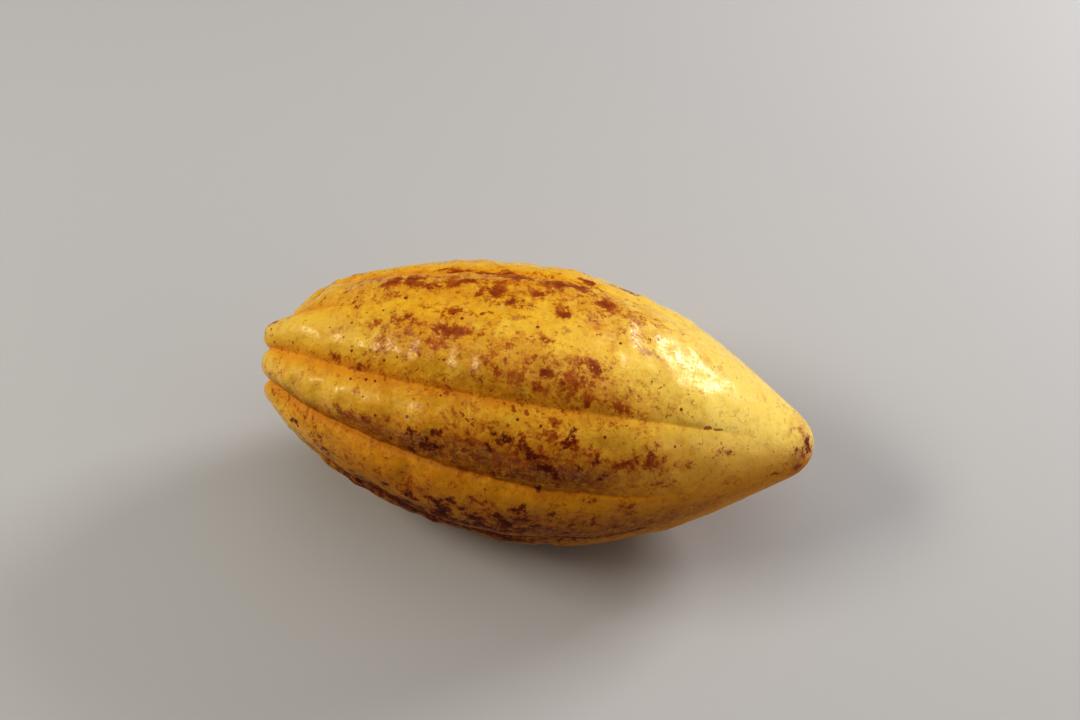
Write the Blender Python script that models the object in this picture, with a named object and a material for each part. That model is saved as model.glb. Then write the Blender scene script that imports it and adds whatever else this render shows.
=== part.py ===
"""A ripe yellow cacao pod, picked and lying on its side, as one faceted solid.

The pod grew as one piece: a thick ribbed husk that ends in a blunt tip, with the
cut stub of its stalk in a small hollow at the other end. Metres, +Z up. +X runs
from the stalk end to the tip, and the origin is on the surface that the pod lies
on, under the middle of its box.
"""

import math

import bmesh
import bpy
from mathutils import Matrix, Vector, noise

# Driving sizes, in millimetres.
LENGTH = 179.0  # from the ring of lobes round the stalk to the tip
BELLY_RADIUS = 45.2  # of the ridge tops at the fattest place
BELLY_AT = 86.0  # how far that place is from the stalk end
RIM_RADIUS = 11.0  # of the ring of lobe ends round the stalk
SHOULDER_REACH = 17.0  # how far the ring's blunt shoulder reaches along the pod
SHOULDER_TURN = 10.0  # how far along the pod the surface turns from end to side
STUB_RADIUS = 4.4  # of the cut stalk
STUB_TOP = 2.2  # how far the cut lies inside the lobe ends
HOLLOW_DEPTH = 5.6  # of the hollow round the stalk

# The curves of the outline, as powers: 2 is an ellipse or a parabola.
SWELL_POWER = 1.9  # from the stalk end to the belly
TAPER_POWER = 1.8  # from the belly to the tip
NOSE_POWER = 12.0  # how late in the taper the blunt tip begins
TIP_NOSE = 0.5  # how blunt the tip is: 0 is the bare taper

# How the pod lies: the flat spot is pressed this deep, and the long axis leans.
REST_FLAT = 0.9  # millimetres
LEAN = 2.3  # degrees that the tip end is lowered

# Furrows, in order round the pod. For each: its angle at the belly in degrees,
# from the top towards -Y; its depth among the lobes round the stalk and at the
# belly, in millimetres; how far from the stalk it dies out, in millimetres; and
# how many degrees it has turned by the stalk and by the tip.
FURROWS = [
    (6.5, 4.4, 0.8, 150.0, -45.0, -9.0),
    (36.5, 3.8, 3.8, 162.0, -17.0, -6.0),
    (66.5, 4.0, 4.6, 126.0, -3.0, 12.0),
    (96.0, 3.4, 3.0, 150.0, 3.0, 3.0),
    (138.0, 3.6, 1.7, 138.0, 1.0, -2.0),
    (180.0, 3.4, 3.0, 160.0, -4.0, 3.0),
    (219.0, 3.8, 1.8, 134.0, -10.0, 3.0),
    (257.5, 3.4, 3.3, 158.0, -22.0, -2.0),
    (296.5, 3.6, 1.6, 142.0, -38.0, -8.0),
    (336.5, 3.8, 2.4, 164.0, -52.0, -16.0),
]
TURN_REACH = 24.0  # how far along the pod the turn near the stalk reaches
RIM_DEPTH_REACH = 26.0  # the same for the depth among the lobes
LIP_REACH = 4.0  # the same for the shallow start at the lobe ends
LIP_SHARE = 0.25  # how much shallower a furrow starts there
FADE_POWER = 1.6  # how suddenly a furrow dies out

# Ridges: each lies between the furrow of the same place in the list and the next.
# For each, in millimetres: how far along the pod its lobe starts, how much the
# lobe bulges there, and how much the ridge stands out at the belly.
RIDGES = [
    (-1.5, 1.5, 0.3),
    (-0.5, 0.0, 0.0),
    (0.5, -0.8, 0.0),
    (1.5, -0.8, 0.4),
    (2.0, 0.0, 0.0),
    (2.5, 1.0, 0.2),
    (2.5, 2.0, 0.0),
    (3.0, 3.0, -0.3),
    (4.0, 4.0, -0.8),
    (4.0, 5.5, -0.3),
]
LOBE_REACH = 17.0  # how far along the pod a lobe's own start is still felt
BULGE_START = 3.0  # where its bulge begins to show
BULGE_REACH = 24.0  # and how far it reaches
# How a ridge's section rises from its furrows: near 1 as a sine, lower as a wide
# flat crest between narrow furrows. The first is at the stalk, the second beyond
# FLATTEN_BY.
LOBE_ROUNDNESS = 0.95
RIDGE_ROUNDNESS = 0.5
FLATTEN_BY = 70.0
FURROW_FLOOR = 0.004  # softens the line at the bottom of a furrow

# Relief of the husk, in millimetres: how high, and how far from lump to lump.
WIDE_LUMP = 0.9
WIDE_SPAN = 15.0
SMALL_LUMP = 0.5
SMALL_SPAN = 7.0
FOLD = 0.55
FOLD_SPAN = 4.6
FOLD_LENGTH = 19.0
RELIEF_FROM_STALK = 14.0  # full from here on
RELIEF_TO_TIP = 70.0  # dies out over this length

COLUMNS_PER_RIDGE = 10
OUTER_RINGS = 50
MM = 0.001


def mix(low, high, share):
    return low + (high - low) * share


def smooth(share):
    """0 below 0, 1 above 1, with a soft start and end."""
    share = min(max(share, 0.0), 1.0)
    return share * share * (3.0 - 2.0 * share)


def near(along, reach):
    """1 at the stalk end, dying out softly at about the reach."""
    return math.exp(-((along / reach) ** 2))


def outer_radius(along):
    """Radius of the ridge tops at a distance from the stalk end."""
    if along < BELLY_AT:
        share = (BELLY_AT - along) / BELLY_AT
        swell = BELLY_RADIUS**2 * (1.0 - share**SWELL_POWER)
        return math.sqrt(swell + RIM_RADIUS**2 * near(along, SHOULDER_REACH))
    share = (along - BELLY_AT) / (LENGTH - BELLY_AT)
    left = max(1.0 - share**2, 0.0)
    return BELLY_RADIUS * math.sqrt(left**TAPER_POWER + TIP_NOSE * left * share**NOSE_POWER)


def hollow_stations():
    """Points (along, radius) from the middle of the cut stalk to the lobe ends."""
    floor_radius = (STUB_RADIUS + RIM_RADIUS) / 2.0
    return [
        (STUB_TOP, STUB_RADIUS * 0.45),
        (STUB_TOP, STUB_RADIUS * 0.85),
        (STUB_TOP + 0.6, STUB_RADIUS),
        (HOLLOW_DEPTH - 0.8, STUB_RADIUS * 1.08),
        (HOLLOW_DEPTH, floor_radius - 0.9),
        (HOLLOW_DEPTH - 1.4, floor_radius + 0.6),
        (1.1, RIM_RADIUS - 1.2),
    ]


def outer_stations():
    """Points (along, radius) from the lobe ends to the tip, closer at both ends."""
    points = []
    for ring in range(OUTER_RINGS):
        turn = math.pi * (ring + 0.2) / OUTER_RINGS
        along = LENGTH * (0.5 - 0.5 * math.cos(turn))
        points.append((along, outer_radius(along)))
    return points


def furrow_angle(number, along):
    """Angle of a furrow at a distance from the stalk end, in degrees."""
    angle, _, _, _, early, late = FURROWS[number % len(FURROWS)]
    full_turns = 360.0 * (number // len(FURROWS))
    turned = early * math.exp(-along / TURN_REACH) + late * (along / LENGTH) ** 2
    return angle + full_turns + turned


def furrow_depth(number, along):
    """Depth of a furrow on the outside of the pod, in millimetres."""
    _, rim, belly, reach, _, _ = FURROWS[number % len(FURROWS)]
    fade = max(1.0 - (along / reach) ** FADE_POWER, 0.0)
    lip = 1.0 - LIP_SHARE * math.exp(-along / LIP_REACH)
    return mix(belly * fade, rim, near(along, RIM_DEPTH_REACH) * lip)


def arch(across, along):
    """Height of a ridge from furrow (0) to top (1) at a place across it."""
    roundness = mix(LOBE_ROUNDNESS, RIDGE_ROUNDNESS, smooth(along / FLATTEN_BY))
    rise = math.sin(math.pi * across) ** 2
    return ((rise + FURROW_FLOOR) / (1.0 + FURROW_FLOOR)) ** (roundness / 2.0)


def relief(point, across, along):
    """The uneven swelling of the husk, in millimetres."""
    wide = WIDE_LUMP * noise.noise(point / WIDE_SPAN)
    small = SMALL_LUMP * noise.noise(point / SMALL_SPAN + Vector((31.0, 5.0, 17.0)))
    place = Vector((along / FOLD_SPAN, point.y / FOLD_LENGTH, point.z / FOLD_LENGTH))
    folds = FOLD * noise.noise(place)
    fade = smooth((LENGTH - along) / RELIEF_TO_TIP) * smooth(along / RELIEF_FROM_STALK)
    return fade * (wide + arch(across, along) * (small + folds))


def ridge_values(number, across):
    """Each ridge's own values at its middle, blended across the furrows."""
    if across < 0.5:
        low, high, share = RIDGES[number - 1], RIDGES[number], across + 0.5
    else:
        high = RIDGES[(number + 1) % len(RIDGES)]
        low, share = RIDGES[number], across - 0.5
    return [mix(a, b, smooth(share)) for a, b in zip(low, high)]


def husk_point(station, number, across, outside):
    """A point of the surface, in millimetres, with the pod's axis along X.

    outside runs from 0 on the stub to 1 at the lobe ends and beyond. Furrows and
    lumps are cut along the axis in the hollow, and turn radial outside it.
    """
    along, radius = station
    angle = math.radians(
        mix(furrow_angle(number, along), furrow_angle(number + 1, along), across)
    )
    share = smooth(across)
    depth = mix(furrow_depth(number, along), furrow_depth(number + 1, along), share)
    start, bulge, stand = ridge_values(number, across)
    fuller = bulge * near(along, BULGE_REACH) * smooth(along / BULGE_START)
    fuller += stand * math.sin(math.pi * along / LENGTH) ** 2
    outward = Vector((0.0, -math.sin(angle), math.cos(angle)))
    base = Vector((along, 0.0, 0.0)) + outward * radius
    height = relief(base, across, along) + fuller - depth * (1.0 - arch(across, along))
    turned = 0.0
    if outside == 1.0:
        turned = 0.5 * math.pi * (1.0 - math.exp(-along / SHOULDER_TURN))
    way = Vector((-math.cos(turned), 0.0, 0.0)) + outward * math.sin(turned)
    back = Vector((start * near(along, LOBE_REACH), 0.0, 0.0))
    return base + (way * height + back) * outside


def ring_points(station, outside):
    """One ring of points round the pod, closer together at the furrows."""
    points = []
    for number in range(len(FURROWS)):
        for step in range(COLUMNS_PER_RIDGE):
            even = step / COLUMNS_PER_RIDGE
            across = mix(even, 0.5 - 0.5 * math.cos(math.pi * even), 0.6)
            points.append(husk_point(station, number, across, outside))
    return points


def husk_mesh():
    """The whole pod as one closed mesh, in millimetres, with its axis along X."""
    hollow = hollow_stations()
    mesh = bmesh.new()
    rings = []
    for i, station in enumerate(hollow + outer_stations()):
        outside = smooth((i - 2) / (len(hollow) - 2))
        rings.append([mesh.verts.new(point) for point in ring_points(station, outside)])
    for ring, next_ring in zip(rings, rings[1:]):
        for j in range(len(ring)):
            k = (j + 1) % len(ring)
            mesh.faces.new((ring[j], ring[k], next_ring[k], next_ring[j]))
    ends = ((rings[0], (STUB_TOP, 0.0, 0.0)), (rings[-1], (LENGTH, 0.0, 0.0)))
    for ring, place in ends:
        centre = mesh.verts.new(place)
        for j in range(len(ring)):
            mesh.faces.new((ring[j], ring[(j + 1) % len(ring)], centre))
    bmesh.ops.recalc_face_normals(mesh, faces=mesh.faces)
    return mesh


def lay_down(mesh):
    """Leans the pod, presses its resting spot flat and puts the origin under it."""
    mesh.transform(Matrix.Rotation(math.radians(LEAN), 4, "Y"))
    lowest = min(v.co.z for v in mesh.verts) + REST_FLAT
    for v in mesh.verts:
        v.co.z = max(v.co.z - lowest, 0.0)
    for axis in (0, 1):
        values = [v.co[axis] for v in mesh.verts]
        middle = (min(values) + max(values)) / 2.0
        for v in mesh.verts:
            v.co[axis] -= middle
    mesh.transform(Matrix.Scale(MM, 4))


def skin_material():
    material = bpy.data.materials.new("ripe_skin")
    material.use_nodes = True
    shader = material.node_tree.nodes["Principled BSDF"]
    shader.inputs["Base Color"].default_value = (0.72, 0.42, 0.05, 1.0)
    shader.inputs["Roughness"].default_value = 0.38
    shader.inputs["Metallic"].default_value = 0.0
    return material


def main():
    for obj in list(bpy.data.objects):
        bpy.data.objects.remove(obj)
    mesh = husk_mesh()
    lay_down(mesh)
    data = bpy.data.meshes.new("cacao_pod")
    mesh.to_mesh(data)
    mesh.free()
    data.materials.append(skin_material())
    data.shade_smooth()
    pod = bpy.data.objects.new("cacao_pod", data)
    bpy.context.scene.collection.objects.link(pod)


main()
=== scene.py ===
"""A ripe yellow cacao pod, picked and lying on its side."""

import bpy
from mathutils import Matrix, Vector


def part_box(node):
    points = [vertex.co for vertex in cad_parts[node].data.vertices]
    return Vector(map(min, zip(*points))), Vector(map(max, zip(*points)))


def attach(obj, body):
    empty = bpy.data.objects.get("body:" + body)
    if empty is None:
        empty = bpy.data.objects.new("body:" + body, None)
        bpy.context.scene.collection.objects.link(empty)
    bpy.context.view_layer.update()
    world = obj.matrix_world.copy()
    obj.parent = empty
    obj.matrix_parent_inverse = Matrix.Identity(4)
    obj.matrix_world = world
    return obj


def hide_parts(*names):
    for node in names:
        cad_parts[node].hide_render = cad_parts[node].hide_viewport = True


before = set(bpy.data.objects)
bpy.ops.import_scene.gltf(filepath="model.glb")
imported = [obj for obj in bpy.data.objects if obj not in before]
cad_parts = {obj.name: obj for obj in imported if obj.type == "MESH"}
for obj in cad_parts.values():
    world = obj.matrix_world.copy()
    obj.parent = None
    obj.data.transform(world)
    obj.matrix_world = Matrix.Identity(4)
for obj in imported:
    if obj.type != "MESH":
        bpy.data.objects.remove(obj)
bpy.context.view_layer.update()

import math

import bpy
import numpy as np
from mathutils import Vector, noise

# The husk. The real one is a thick, tough rind that grew as one piece from the
# stalk: ten ridges with furrows between them, deep by the stalk and fading
# towards the blunt tip, all over with low lumps, folds and warts.
MM = 0.001
LENGTH = 179.0  # from the stalk end to the tip; lengths are in millimetres
BELLY_RADIUS = 45.2
BELLY_AT = 86.0  # the distance of the widest place from the stalk end
RIM_RADIUS = 13.0  # of the ring of lobe ends round the stalk
SHOULDER_REACH = 17.0  # how far the ring's blunt shoulder reaches along the pod
SHOULDER_TURN = 10.0  # how far along the pod the surface turns from end to side
STUB_RADIUS = 4.4
STUB_TOP = 2.2  # how far in the cut face of the stub lies
HOLLOW_DEPTH = 5.6
SWELL_POWER = 1.9  # higher is fuller, between the stalk end and the belly
TAPER_POWER = 1.8  # higher is slimmer, between the belly and the tip
NOSE_POWER = 12.0  # how late in the taper the blunt tip begins
TIP_NOSE = 0.5  # how blunt the tip is
REST_FLAT = 0.9  # how much the resting ridges are pressed flat
LEAN = 2.3  # degrees
# For each furrow: its angle in degrees, from the top towards -Y; its depth by
# the stalk and at the belly; how far it reaches; its turn by the stalk and tip.
FURROWS = [
    (1.5, 3.0, 0.9, 150.0, -22.0, -4.0),
    (36.5, 3.1, 3.8, 162.0, -17.0, -6.0),
    (66.5, 3.3, 5.6, 144.0, -3.0, 11.0),
    (109.0, 3.0, 3.0, 150.0, 9.0, -5.0),
    (139.0, 3.6, 1.7, 138.0, 4.0, -2.0),
    (180.0, 3.4, 3.0, 160.0, -1.0, 3.0),
    (219.0, 3.8, 1.8, 134.0, -10.0, 3.0),
    (257.5, 3.4, 3.3, 158.0, -22.0, -2.0),
    (296.5, 3.6, 1.6, 142.0, -38.0, -8.0),
    (334.0, 3.8, 2.4, 164.0, -44.0, -14.0),
]
TURN_REACH = 24.0  # how far along the pod the turn near the stalk reaches
RIM_DEPTH_REACH = 26.0  # the same for the depth among the lobes
FIRST_RIM_DEPTH_REACH = 19.0  # and for the first furrow's
LIP_REACH = 4.0  # the same for the shallow start at the lobe ends
LIP_SHARE = 0.25  # how much shallower a furrow starts there
FADE_POWER = 1.6  # how suddenly a furrow dies out
# For each ridge: where its lobe starts, its bulge there, and its stand at the belly.
RIDGES = [
    (-0.9, 1.5, 0.3),
    (0.4, 0.0, 0.0),
    (1.3, -0.8, 0.0),
    (1.5, -0.8, 0.4),
    (2.0, 0.0, 0.0),
    (2.5, 1.0, 0.2),
    (2.5, 2.0, 0.0),
    (3.0, 3.0, -0.3),
    (4.0, 4.0, -0.8),
    (6.3, 2.0, -0.3),
]
LOBE_REACH = 17.0  # how far along the pod a lobe's own start is still felt
BULGE_START = 3.0  # where its bulge begins to show
BULGE_REACH = 24.0  # and how far it reaches
# A ridge is 1 for round across and lower for flat on top with a narrow furrow: at
# the lobe ends, on the lobes, and from the belly on.
END_ROUNDNESS = 0.5
LOBE_ROUNDNESS = 1.2
RIDGE_ROUNDNESS = 0.5
END_REACH = 10.0
FLATTEN_BY = 70.0
FURROW_FLOOR = 0.004  # keeps the bottom of a furrow from being a knife cut
# Each ridge rises steeply beside its first furrow and slopes gently to the next
# one where its skew is under 1.
SKEWS = [0.95, 1.0, 0.6, 0.8, 1.0, 1.0, 1.0, 1.0, 1.1, 1.1]
SKEWED_FROM = 30.0  # the lobes themselves are even
CREASE_DEPTH = 0.15  # the sharp line at the bottom of a furrow
CREASE_WIDTH = 0.8
CREASED_DEPTH = 2.0  # how deep a furrow is that has the whole crease
SHADED_DEPTH = 2.5  # SHADED_DEPTH = 2.5 # and how deep one is that has the whole painted furrow shade
# The height of each kind of lump on the rind, and about how far apart they are.
WIDE_LUMP, WIDE_SPAN = 0.9, 15.0
SMALL_LUMP, SMALL_SPAN = 0.5, 7.0
FOLD, FOLD_SPANS = 0.55, (4.6, 19.0, 19.0)
DENT, DENT_SPAN = 0.40, 5.2
WART, WART_SPAN = 0.18, 2.4
WRINKLE, WRINKLE_SPANS = 0.12, (9.0, 1.7, 1.7)
WARTY_SPAN = 13.0  # the areas with warts, which have wrinkles between them
# Over how long a way they die out towards the tip and the stalk end, how far
# before the tip that ends, and what share of them is left there.
LUMPS_TO_TIP, LUMPS_TO_STALK = 70.0, 14.0
FOLDS_TO_TIP, FOLDS_END = 80.0, 20.0
DENTS_TO_TIP, DENTS_LEFT = 95.0, 0.3
WARTS_TO_TIP, WARTS_END, WARTS_LEFT = 70.0, 25.0, 0.2
FINE_TO_STALK = 6.0
GRAIN_RADIUS = 45.0  # scratches run along the ridges, as if drawn on a tube of this size
COLUMNS_PER_RIDGE = 40
TOWARDS_FURROWS = 0.45  # how much closer together the columns are by a furrow
HOLLOW_RINGS = 20
OUTER_RINGS = 228


def mix(low, high, share):
    return low + (high - low) * share


def smooth(share):
    share = np.clip(share, 0.0, 1.0)
    return share * share * (3.0 - 2.0 * share)


def near(along, reach):
    return np.exp(-((along / reach) ** 2))


def noise_at(places, span, shift=0.0):
    """Smooth noise from about -1 to 1, with lumps about one span apart.

    Each use has a shift of its own, so that no two kinds of lump fall together.
    """
    scaled = np.asarray(places) / span + shift
    return np.array([noise.noise(place) for place in scaled.tolist()])


def outer_radius(along):
    """Radius of the ridge tops at a distance from the stalk end."""
    if along < BELLY_AT:
        share = (BELLY_AT - along) / BELLY_AT
        swell = BELLY_RADIUS**2 * (1.0 - share**SWELL_POWER)
        return math.sqrt(swell + RIM_RADIUS**2 * near(along, SHOULDER_REACH))
    share = (along - BELLY_AT) / (LENGTH - BELLY_AT)
    left = max(1.0 - share**2, 0.0)
    return BELLY_RADIUS * math.sqrt(left**TAPER_POWER + TIP_NOSE * left * share**NOSE_POWER)


def evenly(line, count):
    """count points at even steps along a line of (along, radius) points."""
    line = np.array(line)
    steps = np.hypot(*np.diff(line, axis=0).T)
    walked = np.concatenate([[0.0], np.cumsum(steps)])
    wanted = np.linspace(0.0, walked[-1], count)
    return np.stack([np.interp(wanted, walked, line[:, i]) for i in (0, 1)], axis=1)


def stations():
    """Rings (along, radius) from under the stub, over the lobe ends, to the tip."""
    floor_radius = (STUB_RADIUS + RIM_RADIUS) / 2.0
    hollow = [
        (HOLLOW_DEPTH, STUB_RADIUS * 0.5),
        (HOLLOW_DEPTH, floor_radius - 0.9),
        (HOLLOW_DEPTH - 0.5, floor_radius),
        (HOLLOW_DEPTH - 1.6, floor_radius + 0.7),
        (1.6, RIM_RADIUS - 1.7),
        (0.5, RIM_RADIUS - 0.9),
        (0.0, outer_radius(0.0)),
    ]
    turns = np.linspace(0.0, math.pi, 4000)
    outer = [(a, outer_radius(a)) for a in LENGTH * (0.5 - 0.5 * np.cos(turns))]
    return evenly(hollow, HOLLOW_RINGS + 1)[:-1], evenly(outer, OUTER_RINGS + 1)[:-1]


def furrow_angle(number, along):
    angle, _, _, _, early, late = FURROWS[number % len(FURROWS)]
    turned = early * np.exp(-along / TURN_REACH) + late * (along / LENGTH) ** 2
    return angle + 360.0 * (number // len(FURROWS)) + turned


def furrow_depth(number, along):
    _, rim, belly, reach, _, _ = FURROWS[number % len(FURROWS)]
    fade = np.maximum(1.0 - (along / reach) ** FADE_POWER, 0.0)
    lip = 1.0 - LIP_SHARE * np.exp(-along / LIP_REACH)
    rim_reach = RIM_DEPTH_REACH if number % len(FURROWS) else FIRST_RIM_DEPTH_REACH
    return mix(belly * fade, rim, near(along, rim_reach) * lip)


def arch(across, along):
    """Height of a ridge from furrow (0) to top (1) at a place across it."""
    roundness = mix(END_ROUNDNESS, LOBE_ROUNDNESS, smooth(along / END_REACH))
    roundness = mix(roundness, RIDGE_ROUNDNESS, smooth(along / FLATTEN_BY))
    rise = np.sin(math.pi * across) ** 2
    return ((rise + FURROW_FLOOR) / (1.0 + FURROW_FLOOR)) ** (roundness / 2.0)


def ridge_values(number, across):
    """Each ridge's own values at its middle, blended across the furrows."""
    before, own = np.array(RIDGES[number - 1]), np.array(RIDGES[number])
    after = np.array(RIDGES[(number + 1) % len(RIDGES)])
    share = smooth(np.where(across < 0.5, across + 0.5, across - 0.5))[:, None]
    low = np.where(across[:, None] < 0.5, before, own)
    high = np.where(across[:, None] < 0.5, own, after)
    return mix(low, high, share).T


def relief(base, crest, along):
    """Lumps, folds, warts and wrinkles of the rind, in millimetres."""
    to_tip = LENGTH - along
    wide = WIDE_LUMP * noise_at(base, WIDE_SPAN)
    small = SMALL_LUMP * noise_at(base, SMALL_SPAN, (31.0, 5.0, 17.0))
    folds = FOLD * noise_at(base, FOLD_SPANS) * smooth((to_tip - FOLDS_END) / FOLDS_TO_TIP)
    fade = smooth(to_tip / LUMPS_TO_TIP) * smooth(along / LUMPS_TO_STALK)
    coarse = fade * (wide + crest * (small + folds))
    dents = DENT * noise_at(base, DENT_SPAN, (7.0, 3.0, 1.0))
    dents = mix(DENTS_LEFT, 1.0, smooth(to_tip / DENTS_TO_TIP)) * dents
    warts = WART * noise_at(base, WART_SPAN, (2.0, 8.0, 5.0))
    wrinkles = WRINKLE * noise_at(base, WRINKLE_SPANS, (0.0, 9.0, 2.0))
    warty = smooth(0.5 + 0.9 * noise_at(base, WARTY_SPAN, (3.0, 41.0, 8.0)))
    finest = mix(WARTS_LEFT, 1.0, smooth((to_tip - WARTS_END) / WARTS_TO_TIP)) * mix(wrinkles, warts, warty)
    return coarse + smooth(along / FINE_TO_STALK) * (dents + finest)


columns = np.arange(COLUMNS_PER_RIDGE) / COLUMNS_PER_RIDGE
columns = mix(columns, 0.5 - 0.5 * np.cos(math.pi * columns), TOWARDS_FURROWS)
hollow, outer = stations()
# Each row has a point of the husk, its place on the smooth pod, its place in the
# grain of the ridges, its angle, its distance from the nearest furrow, and from 0 to
# 1 how low it lies in that furrow and how far inside the hollow.
rings = []
for (along, radius), inside in [(s, True) for s in hollow] + [(s, False) for s in outer]:
    outside, turned = 1.0, 0.5 * math.pi * (1.0 - math.exp(-along / SHOULDER_TURN))
    if inside:
        outside, turned = smooth((radius - STUB_RADIUS) / (RIM_RADIUS - STUB_RADIUS)), 0.0
    for number in range(len(FURROWS)):
        first, last = furrow_angle(number, along), furrow_angle(number + 1, along)
        degrees = mix(first, last, columns)
        angle = np.radians(degrees)
        grown = 2.0 * math.pi / len(FURROWS) * (number + columns)
        depth = mix(furrow_depth(number, along), furrow_depth(number + 1, along), smooth(columns))
        start, bulge, stand = ridge_values(number, columns)
        fuller = bulge * near(along, BULGE_REACH) * smooth(along / BULGE_START)
        fuller += stand * math.sin(math.pi * along / LENGTH) ** 2
        outward = np.stack([0.0 * angle, -np.sin(angle), np.cos(angle)], axis=1)
        base = outward * radius + (along, 0.0, 0.0)
        grain = np.stack([0.0 * grown, -np.sin(grown), np.cos(grown)], axis=1)
        grain = grain * GRAIN_RADIUS + (along, 0.0, 0.0)
        crest = arch(columns ** mix(1.0, SKEWS[number], smooth(along / SKEWED_FROM)), along)
        gap = np.minimum(columns, 1.0 - columns) * np.radians(last - first) * radius
        crease = CREASE_DEPTH * near(gap, CREASE_WIDTH) * np.minimum(depth / CREASED_DEPTH, 1.0)
        height = relief(base, crest, along) + fuller - depth * (1.0 - crest) - crease
        way = outward * math.sin(turned) - (math.cos(turned), 0.0, 0.0)
        shifted = way * height[:, None]
        shifted[:, 0] += start * near(along, LOBE_REACH)
        valley = (1.0 - crest) * np.minimum(depth / SHADED_DEPTH, 1.0)
        inward = np.full_like(gap, 1.0 - outside)
        whole = np.column_stack([base + shifted * outside, base, grain, degrees, gap, valley, inward])
        rings.append(whole)
husk_points = np.concatenate(rings)
around = COLUMNS_PER_RIDGE * len(FURROWS)
ring_count = len(husk_points) // around
stalk_end = husk_points[:around].mean(0)
stalk_end[:3] = stalk_end[3:6] = (HOLLOW_DEPTH, 0.0, 0.0)
tip_end = husk_points[-around:].mean(0)
tip_end[:3] = tip_end[3:6] = (LENGTH, 0.0, 0.0)
husk_points = np.concatenate([husk_points, [stalk_end, tip_end]])
points, base, grain, degrees, gap, valley, inward = np.split(husk_points, [3, 6, 9, 10, 11, 12], axis=1)
degrees, gap, valley, inward = (values[:, 0] for values in (degrees, gap, valley, inward))

# Lying down: the long axis leans, the resting ridges are pressed flat, and the
# origin comes under the middle of the box.
lean = math.radians(LEAN)
lean_rows = np.array(
    [
        (math.cos(lean), 0.0, math.sin(lean)),
        (0.0, 1.0, 0.0),
        (-math.sin(lean), 0.0, math.cos(lean)),
    ]
)
points = points @ lean_rows.T
laid_at = (points.min(0) + points.max(0)) / 2.0
laid_at[2] = points[:, 2].min() + REST_FLAT
points -= laid_at
points[:, 2] = np.maximum(points[:, 2], 0.0)

faces = []
for ring in range(ring_count - 1):
    for column in range(around):
        beside = (column + 1) % around
        low, high = ring * around, (ring + 1) * around
        faces.append((low + column, low + beside, high + beside, high + column))
stalk_pole, tip_pole = ring_count * around, ring_count * around + 1
last_ring = (ring_count - 1) * around
for column in range(around):
    faces.append(((column + 1) % around, column, stalk_pole))
for column in range(around):
    faces.append((last_ring + column, last_ring + (column + 1) % around, tip_pole))
husk_mesh = bpy.data.meshes.new("husk")
husk_mesh.from_pydata((points * MM).tolist(), [], faces)
husk_mesh.shade_smooth()

# The unwrapping goes round the pod and along its outline, cut at the first furrow.
profile = np.concatenate([hollow, outer, [(LENGTH, 0.0)]])
walked = np.concatenate([[0.0], np.cumsum(np.hypot(*np.diff(profile, axis=0).T))]) + profile[0, 1]
walked /= walked[-1]
unwrapped = husk_mesh.uv_layers.new(name="OFBake")
corners = np.zeros((len(husk_mesh.loops), 2))
quads = (ring_count - 1) * around
column = np.tile(np.arange(around), ring_count - 1)
ring = np.repeat(np.arange(ring_count - 1), around)
for corner, (aside, onward) in enumerate([(0, 0), (1, 0), (1, 1), (0, 1)]):
    corners[corner : 4 * quads : 4, 0] = (column + aside) / around
    corners[corner : 4 * quads : 4, 1] = walked[ring + onward]
column = np.arange(around)
stalk_fan, tip_fan = corners[4 * quads : 4 * quads + 3 * around], corners[4 * quads + 3 * around :]
for fan, first, pole_at, ring_at in [(stalk_fan, 1, 0.0, walked[0]), (tip_fan, 0, 1.0, walked[-2])]:
    fan[0::3, 0] = (column + first) / around
    fan[1::3, 0] = (column + 1 - first) / around
    fan[2::3, 0] = (column + 0.5) / around
    fan[0::3, 1] = fan[1::3, 1] = ring_at
    fan[2::3, 1] = pole_at
unwrapped.data.foreach_set("uv", corners.astype(np.float32).ravel())

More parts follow.
